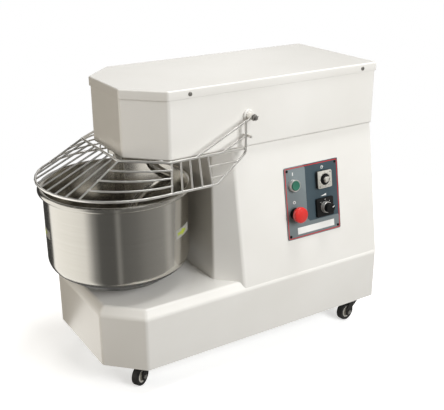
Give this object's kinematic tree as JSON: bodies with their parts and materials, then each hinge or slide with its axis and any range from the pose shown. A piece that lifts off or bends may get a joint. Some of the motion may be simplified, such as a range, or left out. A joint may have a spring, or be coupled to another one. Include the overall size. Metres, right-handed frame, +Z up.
{
  "type": "spiral dough mixer",
  "caption": "Floor-standing spiral dough mixer on casters: turning bowl, spiral hook, wire guard that lifts, belt drive and a side control panel.",
  "frame": {"origin": "on the floor, under the middle of the machine's bounding box", "axes": "+Z up, -Y towards the bowl (front), +X towards the control panel's side"},
  "size_m": [0.4234, 0.854, 0.7],
  "materials": {
    "white_paint": "gloss enamel",
    "zinc_plate": "zinc plated",
    "stainless": "polished stainless",
    "chrome_wire": "polished",
    "steel": "machined",
    "cast_iron": "machined casting",
    "motor_grey": "satin enamel",
    "belt_rubber": "matt",
    "panel_film": "printed satin",
    "black_plastic": "satin",
    "grey_plastic": "satin",
    "green_plastic": "gloss",
    "red_plastic": "gloss",
    "tyre": "matt"
  },
  "bodies": {
    "machine": {"base_shell": "white_paint", "bottom_plate": "zinc_plate", "column_shell": "white_paint", "rear_panel": "white_paint", "head_shell": "white_paint", "top_cover": "white_paint", "cover_screws": "steel", "panel_plate": "panel_film", "panel_screws": "black_plastic", "start_bezel": "chrome_wire", "stop_collar": "grey_plastic", "timer_body": "grey_plastic", "speed_plate": "black_plastic", "breaker_bar": "stainless", "hook_bearing": "cast_iron", "bowl_bearing": "cast_iron", "layshaft_bearings": "cast_iron", "motor": "motor_grey", "idler_stud": "steel", "motor_belt": "belt_rubber", "hook_belt": "belt_rubber", "base_belt": "belt_rubber", "bowl_belt": "belt_rubber", "guard_bushes": "steel", "guard_switch": "black_plastic", "contactor": "black_plastic", "cable_gland": "black_plastic", "caster_plates": "zinc_plate"},
    "bowl": {"bowl": "stainless", "bowl_shaft": "steel", "bowl_pulley": "cast_iron"},
    "hook": {"spiral_hook": "stainless", "hook_shaft": "steel", "hook_pulley": "cast_iron"},
    "layshaft": {"layshaft": "steel", "layshaft_pulley": "cast_iron", "layshaft_hook_pulley": "cast_iron", "layshaft_base_pulley": "cast_iron"},
    "idler": {"idler_pulley": "cast_iron"},
    "motor_rotor": {"motor_shaft": "steel", "motor_pulley": "cast_iron"},
    "guard": {"guard_frame": "chrome_wire", "guard_axles": "steel", "guard_nuts": "steel"},
    "start_button": {"start_button": "green_plastic"},
    "stop_button": {"stop_button": "red_plastic"},
    "timer_knob": {"timer_knob": "black_plastic"},
    "speed_knob": {"speed_knob": "black_plastic"},
    "fork_front_right": {"caster_fork_front_right": "zinc_plate", "caster_axle_front_right": "steel"},
    "wheel_front_right": {"caster_wheel_front_right": "tyre"},
    "fork_front_left": {"caster_fork_front_left": "zinc_plate", "caster_axle_front_left": "steel"},
    "wheel_front_left": {"caster_wheel_front_left": "tyre"},
    "fork_rear_right": {"caster_fork_rear_right": "zinc_plate", "caster_axle_rear_right": "steel"},
    "wheel_rear_right": {"caster_wheel_rear_right": "tyre"},
    "fork_rear_left": {"caster_fork_rear_left": "zinc_plate", "caster_axle_rear_left": "steel"},
    "wheel_rear_left": {"caster_wheel_rear_left": "tyre"}
  },
  "joints": [
    {"name": "hook_spin", "type": "hinge", "parent": "machine", "child": "hook", "pos_m": [0, -0.15, 0.55], "axis": [0, 0, 1], "continuous": true},
    {"name": "bowl_spin", "type": "hinge", "parent": "machine", "child": "bowl", "pos_m": [0, -0.242, 0.2], "axis": [0, 0, 1], "continuous": true},
    {"name": "layshaft_spin", "type": "hinge", "parent": "machine", "child": "layshaft", "pos_m": [0, 0.04, 0.5], "axis": [0, 0, 1], "continuous": true},
    {"name": "idler_spin", "type": "hinge", "parent": "machine", "child": "idler", "pos_m": [0, 0.19, 0.15], "axis": [0, 0, 1], "continuous": true},
    {"name": "motor_spin", "type": "hinge", "parent": "machine", "child": "motor_rotor", "pos_m": [0, 0.25, 0.6], "axis": [0, 0, 1], "continuous": true},
    {"name": "guard_hinge", "type": "hinge", "parent": "machine", "child": "guard", "pos_m": [0, 0.0265, 0.6185], "axis": [-1, 0, 0], "range_deg": [0, 85]},
    {"name": "start_press", "type": "slide", "parent": "machine", "child": "start_button", "axis": [-0.9872, 0, -0.1594], "range_m": [0, 0.003], "stiffness_N_per_m": 900},
    {"name": "stop_press", "type": "slide", "parent": "machine", "child": "stop_button", "axis": [-0.9872, 0, -0.1594], "range_m": [0, 0.004], "stiffness_N_per_m": 1200},
    {"name": "timer_turn", "type": "hinge", "parent": "machine", "child": "timer_knob", "pos_m": [0.17096, 0.244, 0.42573], "axis": [-0.9872, 0, -0.1594], "range_deg": [0, 300]},
    {"name": "speed_turn", "type": "hinge", "parent": "machine", "child": "speed_knob", "pos_m": [0.18243, 0.244, 0.35465], "axis": [-0.9872, 0, -0.1594], "range_deg": [-45, 45]},
    {"name": "swivel_front_right", "type": "hinge", "parent": "machine", "child": "fork_front_right", "pos_m": [0.145, -0.258, 0.055], "axis": [0, 0, 1], "continuous": true},
    {"name": "roll_front_right", "type": "hinge", "parent": "fork_front_right", "child": "wheel_front_right", "pos_m": [0.1555, -0.27619, 0.025], "axis": [0.866, 0.5, 0], "continuous": true},
    {"name": "swivel_front_left", "type": "hinge", "parent": "machine", "child": "fork_front_left", "pos_m": [-0.145, -0.258, 0.055], "axis": [0, 0, 1], "continuous": true},
    {"name": "roll_front_left", "type": "hinge", "parent": "fork_front_left", "child": "wheel_front_left", "pos_m": [-0.13782, -0.27773, 0.025], "axis": [0.9397, 0.342, 0], "continuous": true},
    {"name": "swivel_rear_right", "type": "hinge", "parent": "machine", "child": "fork_rear_right", "pos_m": [0.174, 0.36, 0.055], "axis": [0, 0, 1], "continuous": true},
    {"name": "roll_rear_right", "type": "hinge", "parent": "fork_rear_right", "child": "wheel_rear_right", "pos_m": [0.17765, 0.33932, 0.025], "axis": [0.9848, 0.1736, 0], "continuous": true},
    {"name": "swivel_rear_left", "type": "hinge", "parent": "machine", "child": "fork_rear_left", "pos_m": [-0.174, 0.36, 0.055], "axis": [0, 0, 1], "continuous": true},
    {"name": "roll_rear_left", "type": "hinge", "parent": "fork_rear_left", "child": "wheel_rear_left", "pos_m": [-0.17944, 0.33972, 0.025], "axis": [0.9659, -0.2588, 0], "continuous": true}
  ],
  "couplings": [
    {"joint": "layshaft_spin", "follows": "hook_spin", "ratio": 2.4444},
    {"joint": "motor_spin", "follows": "hook_spin", "ratio": 7.3333},
    {"joint": "idler_spin", "follows": "hook_spin", "ratio": 0.49359},
    {"joint": "bowl_spin", "follows": "hook_spin", "ratio": 0.10543}
  ]
}
